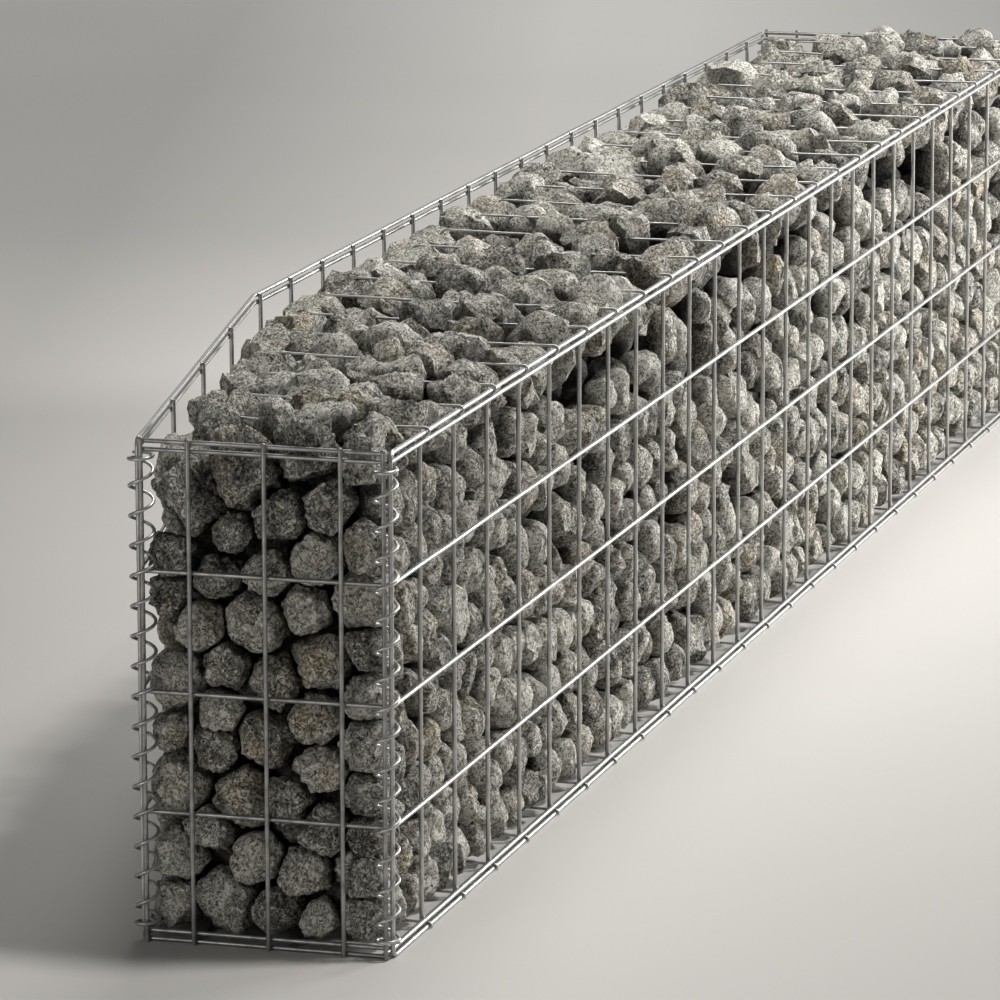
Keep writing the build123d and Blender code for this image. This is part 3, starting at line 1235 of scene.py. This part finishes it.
@dataclass
class StoneFill:
    """The pile's balls carved into stones that keep clear of one another.

    Attributes:
        frame: The wall's planes.
        finish: The stones' material.
        pile: The balls.
        gap: Half the space left between two stones.
        reach: How far apart the middles of two stones may be that cut each other.
        close_up: How far from the near end the stones are made fine.
        shaded: How wide the strip along the back is where they are not.
        first_row: How deep a stone's outside may lie for it to count as showing.
        second_row: How deep the stones lie that show through the gaps.
        deepest: How deep the last stones lie that are divided at all.
        near_cuts: Where the slanting part is divided, from the near end.
        body_cuts: Where the straight part is divided.
    """

    frame: WallFrame
    finish: bpy.types.Material
    pile: StonePile
    gap: float = 1.5 * MM
    reach: float = 88 * MM
    close_up: float = 0.38
    shaded: float = 0.06
    first_row: float = 10 * MM
    second_row: float = 66 * MM
    deepest: float = 100 * MM
    near_cuts: tuple[float, ...] = (0.0, 0.028, 0.12, 0.26, 0.42)
    body_cuts: tuple[float, ...] = (-0.2, 0.25, 0.75)

    def build(self) -> list[bpy.types.Object]:
        """Carve the stones, bay by bay.

        Returns:
            The pieces' objects.
        """
        wall = self.frame
        self.touching = self.neighbours()
        self.balls = {detail: self.make_ball(detail) for detail in range(1, 6)}
        edges = [*(wall.near + cut for cut in self.near_cuts), wall.kink, *self.body_cuts, wall.far]
        pieces = []
        for number, (start, stop) in enumerate(zip(edges, edges[1:]), start=1):
            x = self.pile.centres[:, 0]
            members = np.flatnonzero((x >= start) & (x < stop))
            node = "stone_fill_near" if stop <= wall.kink + MM else "stone_fill_body"
            pieces.append(self.build_bay(f"stones_{number}", members, node))
        return pieces

    @staticmethod
    def make_ball(detail: int) -> bpy.types.Mesh:
        """A ball of evenly spread triangles, from which stones are carved."""
        shape = bmesh.new()
        bmesh.ops.create_icosphere(shape, subdivisions=detail, radius=1.0)
        return mesh_from(f"ball_{detail}", shape)

    def neighbours(self) -> list[list[int]]:
        """The stones that each stone may touch."""
        touching: list[list[int]] = [[] for _ in self.pile.radii]
        for first, second in self.pile.near_pairs(self.reach):
            touching[first].append(second)
            touching[second].append(first)
        return touching

    def detail_of(self, index: int, depth: float) -> int:
        """How finely a stone is divided: finest where it shows close up."""
        x, y, _ = self.pile.centres[index]
        radius = self.pile.radii[index]
        close = x < self.frame.near + self.close_up and y < self.pile.back_at(x) - self.shaded
        if depth < radius + self.first_row:
            return 5 if x < self.frame.near + radius + self.first_row else 4 if close else 3
        if depth < self.second_row:
            return 3 if close else 2
        return 2 if depth < self.deepest else 1

    def build_bay(self, name: str, members: np.ndarray, node: str) -> bpy.types.Object:
        """Carve the stones of one bay and join them in one mesh.

        Args:
            name: The piece's name.
            members: The numbers of its stones.
            node: The node that it stands for.

        Returns:
            The piece's object.
        """
        depths = self.pile.depth_at(self.pile.centres)
        shape = bmesh.new()
        counts = []
        for index in members:
            ball = self.balls[self.detail_of(index, depths[index])]
            shape.from_mesh(ball)
            counts.append(len(ball.vertices))
        mesh = mesh_from(name, shape)
        self.carve_all(mesh, members, counts)
        mesh.shade_smooth()
        mesh.set_sharp_from_angle(angle=math.radians(38))
        return make_piece(name, mesh, self.finish, "stone", node)

    def carve_all(self, mesh: bpy.types.Mesh, members: np.ndarray, counts: list[int]) -> None:
        """Move every vertex of a bay's balls to its stone's surface, and note its looks.

        Args:
            mesh: The bay's mesh, with all its balls about the origin.
            members: The numbers of its stones.
            counts: The number of vertices of each ball.
        """
        places = np.empty(len(mesh.vertices) * 3, np.float32)
        mesh.vertices.foreach_get("co", places)
        places = places.reshape(-1, 3).astype(float)
        total = len(places)
        looks = {f"stone_{look}": np.empty(total) for look in ("tone", "warmth", "ridge")}
        seeds = np.empty((total, 3))
        first = 0
        for index, count in zip(members, counts):
            rows = slice(first, first + count)
            first += count
            draw = np.random.default_rng(PILE_SEED + int(index))
            spin = np.array(Euler(draw.uniform(0, FULL_TURN, 3)).to_matrix())
            directions = (places[rows] / np.linalg.norm(places[rows], axis=1)[:, None]) @ spin
            reach, ridge = self.carve(index, directions, draw)
            places[rows] = self.pile.centres[index] + directions * reach[:, None]
            looks["stone_tone"][rows] = draw.choice(TONES) + draw.uniform(-0.12, 0.12)
            looks["stone_warmth"][rows] = draw.uniform(0, 1) ** 2
            looks["stone_ridge"][rows] = ridge
            seeds[rows] = draw.uniform(-5, 5, 3)
        # Each point's depth below the showing sides and top, which the material turns into painted shade.
        looks["stone_depth"] = self.pile.depth_at(places)
        mesh.vertices.foreach_set("co", places.astype(np.float32).ravel())
        for look, values in looks.items():
            mesh.attributes.new(look, "FLOAT", "POINT").data.foreach_set("value", values.astype(np.float32))
        carrier = mesh.attributes.new("stone_seed", "FLOAT_VECTOR", "POINT")
        carrier.data.foreach_set("vector", seeds.astype(np.float32).ravel())
        mesh.update()

    def carve(
        self, index: int, directions: np.ndarray, draw: np.random.Generator
    ) -> tuple[np.ndarray, np.ndarray]:
        """Find one stone's surface along each direction from its middle.

        The surface is a stretched ball, cut by random chips, by the planes half-way
        to its neighbours and by the mesh, with the cuts' edges rounded.

        Args:
            index: The stone's number.
            directions: Unit vectors.
            draw: The stone's own source of chance.

        Returns:
            The surface's distance along each direction, and how near a cut's edge it is.
        """
        pile = self.pile
        centre, radius = pile.centres[index], pile.radii[index]
        form = FORMS[StoneKind.LUMP if pile.is_cap[index] else StoneKind.COBBLE]
        turn = np.array(Euler(draw.uniform(0, FULL_TURN, 3)).to_matrix())
        axes = radius * (1.035 + draw.uniform(-form.stretch, form.stretch, 3))
        ball = np.linalg.norm((directions @ turn) / axes, axis=1)
        chips = draw.integers(*form.chips)
        cuts = draw.normal(size=(chips, 3))
        cuts /= np.linalg.norm(cuts, axis=1)[:, None]
        cuts /= (radius * draw.uniform(*form.chip_depth, chips))[:, None]
        others = self.touching[index]
        between = pile.centres[others] - centre
        distance = np.linalg.norm(between, axis=1)
        share = (distance**2 + radius**2 - pile.radii[others] ** 2) / (2 * distance) - self.gap
        share = np.maximum(share, 0.3 * radius)
        meets = between / (distance * share)[:, None]
        clear = pile.normals @ centre - pile.offsets
        walls = -pile.normals / np.maximum(clear, 0.3 * radius)[:, None]
        nearness = np.maximum(0, directions @ np.concatenate([cuts, meets, walls]).T)
        nearness = np.concatenate([nearness, ball[:, None]], axis=1)
        reach = (nearness**form.crispness).sum(axis=1) ** (-1 / form.crispness)
        ranked = np.partition(nearness, -2, axis=1)
        ridge = np.clip((ranked[:, -2] / ranked[:, -1] - 0.9) / 0.1, 0, 1)
        bumps = self.waves(directions, draw, 2.2) * form.lumps
        bumps += (0.5 - np.abs(self.waves(directions, draw, 4.6))) * form.crags
        bumps += (0.5 - np.abs(self.waves(directions, draw, 8.5))) * form.crags * 0.5
        bumps += self.waves(directions, draw, 15.0) * form.roughness
        if len(directions) > 2000:
            bumps += self.waves(directions, draw, 27.0, 14) * form.roughness * 0.7
        return reach * (1 + np.clip(bumps - 0.02, -0.2, 0.02)), ridge

    @staticmethod
    def waves(
        directions: np.ndarray, draw: np.random.Generator, tightness: float, count: int = 9
    ) -> np.ndarray:
        """A smooth unevenness over a stone: waves that cross it in random directions.

        Args:
            directions: Unit vectors.
            draw: The stone's own source of chance.
            tightness: How close the waves are.
            count: The number of waves.

        Returns:
            A value along each direction, mostly between -1.5 and 1.5.
        """
        headings = draw.normal(size=(count, 3))
        lengths = np.linalg.norm(headings, axis=1)[:, None]
        headings *= tightness * draw.uniform(0.7, 1.4, (count, 1)) / lengths
        shifts = draw.uniform(0, FULL_TURN, count)
        return np.sin(directions @ headings.T + shifts).sum(axis=1) * math.sqrt(2 / count)


@dataclass
class Studio:
    """The pale floor with painted light and shade, the lights, the sky and the camera."""

    floor_colour: tuple[float, float, float] = (0.645, 0.631, 0.608)
    # The paler floor far along the wall: painted light.
    far_colour: tuple[float, float, float] = (0.97, 0.955, 0.925)
    sky: tuple[float, float, float] = (0.98, 0.99, 1.0)
    lamp_colour: tuple[float, float, float] = (1.0, 0.985, 0.96)
    fill_level: float = 0.07
    lens: float = 223.1
    place: tuple[float, float, float] = (-5.8754, -1.6227, 1.3849)
    swing: float = 16.513
    dip: float = 11.796
    roll: float = -0.138

    def build_camera(self) -> None:
        """Set the camera off the near end, high and to the front's side."""
        data = bpy.data.cameras.new("camera")
        data.lens = self.lens
        data.sensor_width = 36.0
        data.clip_start, data.clip_end = 0.1, 200.0
        camera = place_in_scene("camera", data)
        turned = Matrix.Rotation(math.radians(self.swing - 90), 4, "Z")
        tipped = Matrix.Rotation(math.radians(90 - self.dip), 4, "X")
        rolled = Matrix.Rotation(math.radians(self.roll), 4, "Z")
        camera.matrix_world = Matrix.Translation(self.place) @ turned @ tipped @ rolled
        bpy.context.scene.camera = camera

    def build_floor(self) -> None:
        """Lay the pale floor, with painted shade beside and in front of the wall and painted light far off.
        """
        shape = bmesh.new()
        bmesh.ops.create_grid(shape, x_segments=8, y_segments=8, size=40.0)
        mesh = mesh_from("floor", shape)
        floor = place_in_scene("floor", mesh)
        material, shades = new_material("pale_floor")
        place = shades.add("TexCoord").outputs["Object"]
        parts = shades.add("SeparateXYZ", Vector=place)
        reach = parts.outputs["X"]
        aside = shades.minus(parts.outputs["Y"], shades.times(reach, 0.25))
        cloud = shades.remap(shades.noise(place, 1.3, 2), 0.3, 0.7, (0.985, 1.015))
        # Darker on the side behind the wall: painted shade where the wall's shadow and the lamps' falloff
        # lie.
        behind = shades.remap(aside, 0.2, 0.8, (1.0, 0.62))
        # Darker in front of the wall, most towards the far end: painted shade that holds down the lamps'
        # pool of light there.
        lamp_pool_shade = shades.remap(reach, -0.3, 1.1, (0.79, 0.70))
        before = shades.remap(aside, -0.7, 0.0, (lamp_pool_shade, 1.02))
        # Paler further along the wall: painted light on the far floor.
        colour = shades.mix(shades.remap(reach, 0.8, 4.5), (*self.floor_colour, 1), (*self.far_colour, 1))
        for factor in (cloud, behind, before):
            colour = shades.scaled(colour, factor)
        surface = shades.add("BsdfPrincipled", Roughness=0.85, Base_Color=colour)
        surface.inputs["Specular IOR Level"].default_value = 0.2
        shades.add("OutputMaterial", Surface=surface.outputs[0])
        mesh.materials.append(material)

    def build_sky(self) -> None:
        """Fill the shadows softly and evenly."""
        world = bpy.data.worlds.new("sky")
        world.use_nodes = True
        bpy.context.scene.world = world
        shades = Shades(world.node_tree)
        light = shades.add("Background", Color=(*self.sky, 1), Strength=self.fill_level)
        shades.add("OutputWorld", Surface=light.outputs[0])

    def build_lamps(self) -> None:
        """Set a narrow raking lamp, one overhead, a weak one at the end, and a distant one."""
        low = self.build_lamp("low_lamp", "AREA", 27.0, Vector((2.18, -2.08, 1.0)), Vector((0.25, 0, 0.5)))
        low.spread = math.radians(80.0)
        self.build_lamp("top_lamp", "AREA", 34.0, Vector((0.5, 0.15, 2.5)), Vector((0.3, 0, 0.3)))
        self.build_lamp("end_lamp", "AREA", 7.0, Vector((-3.1, 0.8, 0.55)), Vector((-1.29, -0.05, 0.2)))
        self.build_lamp("high_lamp", "SUN", 1.72, Vector((0.17, -0.46, 0.87)), Vector((0, 0, 0)))

    def build_lamp(
        self, name: str, kind: str, energy: float, place: Vector, target: Vector
    ) -> bpy.types.Light:
        """Hang a light at a place and turn it to a target.

        Args:
            name: The light's name.
            kind: AREA or SUN.
            energy: Its power.
            place: Where it hangs.
            target: Where it shines.

        Returns:
            The light.
        """
        light = bpy.data.lights.new(name, kind)
        light.energy = energy
        light.color = self.lamp_colour
        if kind == "AREA":
            light.size = 0.9
        else:
            light.angle = math.radians(9)
        lamp = place_in_scene(name, light)
        turned = (target - place).to_track_quat("-Z", "Y").to_matrix().to_4x4()
        lamp.matrix_world = Matrix.Translation(place) @ turned
        return light

    def build(self) -> None:
        """Set up the whole studio."""
        bpy.context.scene.view_settings.view_transform = "Standard"
        self.build_camera()
        self.build_floor()
        self.build_sky()
        self.build_lamps()


def end_places(wall: WallFrame) -> tuple[tuple[float, ...], tuple[float, ...]]:
    """Where the uprights of the two end panels stand across the wall.

    Args:
        wall: The wall's planes.

    Returns:
        The near end's places and the far end's.
    """
    half, pitch, first = wall.mesh_wire / 2, 64 * MM, 42 * MM
    inner = tuple(wall.near_back - first - pitch * step for step in range(3))
    near = (wall.near_back - half, *inner, wall.front + half)
    middle = (wall.front + wall.back) / 2
    far = (wall.front + half, *(middle + pitch * step for step in range(-2, 3)), wall.back - half)
    return near, far


def main() -> None:
    """Build the wall's pieces in order, then the studio."""
    logging.basicConfig(level=logging.INFO, format="%(asctime)s %(name)s: %(message)s")
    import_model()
    wall = WallFrame.from_nodes()
    zinc = zinc_group()
    satin = ZincFinish("satin_zinc", (0.62, 0.62, 0.61), (0.27, 0.27, 0.265), 0.5).build(zinc)
    coil_zinc = ZincFinish("coil_zinc", (0.62, 0.62, 0.61), (0.26, 0.26, 0.25), 0.5).build(zinc)
    # A darker copy of the zinc for both end panels: painted shade, for the near end that stands turned away
    # from the lamps.
    end_zinc = ZincFinish("shaded_end_zinc", (0.44, 0.44, 0.43), (0.17, 0.17, 0.165), 0.7).build(zinc)
    tie_zinc = ZincFinish("dull_zinc", (0.66, 0.66, 0.65), (0.42, 0.42, 0.41), 0.8).build(zinc)
    rock = RockFinish().build(rock_group())
    LongSide(wall, satin, at_back=False).build()
    LongSide(wall, satin, at_back=True).build()
    near_places, far_places = end_places(wall)
    EndMesh(wall, end_zinc, "near_end_panel", near_places, wall.near, -1).build()
    EndMesh(wall, end_zinc, "far_end_panel", far_places, wall.far, 1).build()
    BaseMesh(wall, satin).build()
    half = wall.mesh_wire / 2
    corners = {
        "spiral_near_front": (wall.near + half, wall.front + half, 0.0),
        "spiral_near_back": (wall.near + half, wall.near_back - half / 2, 0.0),
        "spiral_far_front": (wall.far - half, wall.front + half, math.pi),
        "spiral_far_back": (wall.far - half, wall.back - half, math.pi),
    }
    for node, (x, y, heading) in corners.items():
        SpiralJoiner(wall, coil_zinc, node, Vector((x, y, 0)), heading).build()
    CrossTies(wall, tie_zinc).build()
    StoneFill(wall, rock, StonePile(wall)).build()
    Studio().build()


if __name__ == "__main__":
    main()
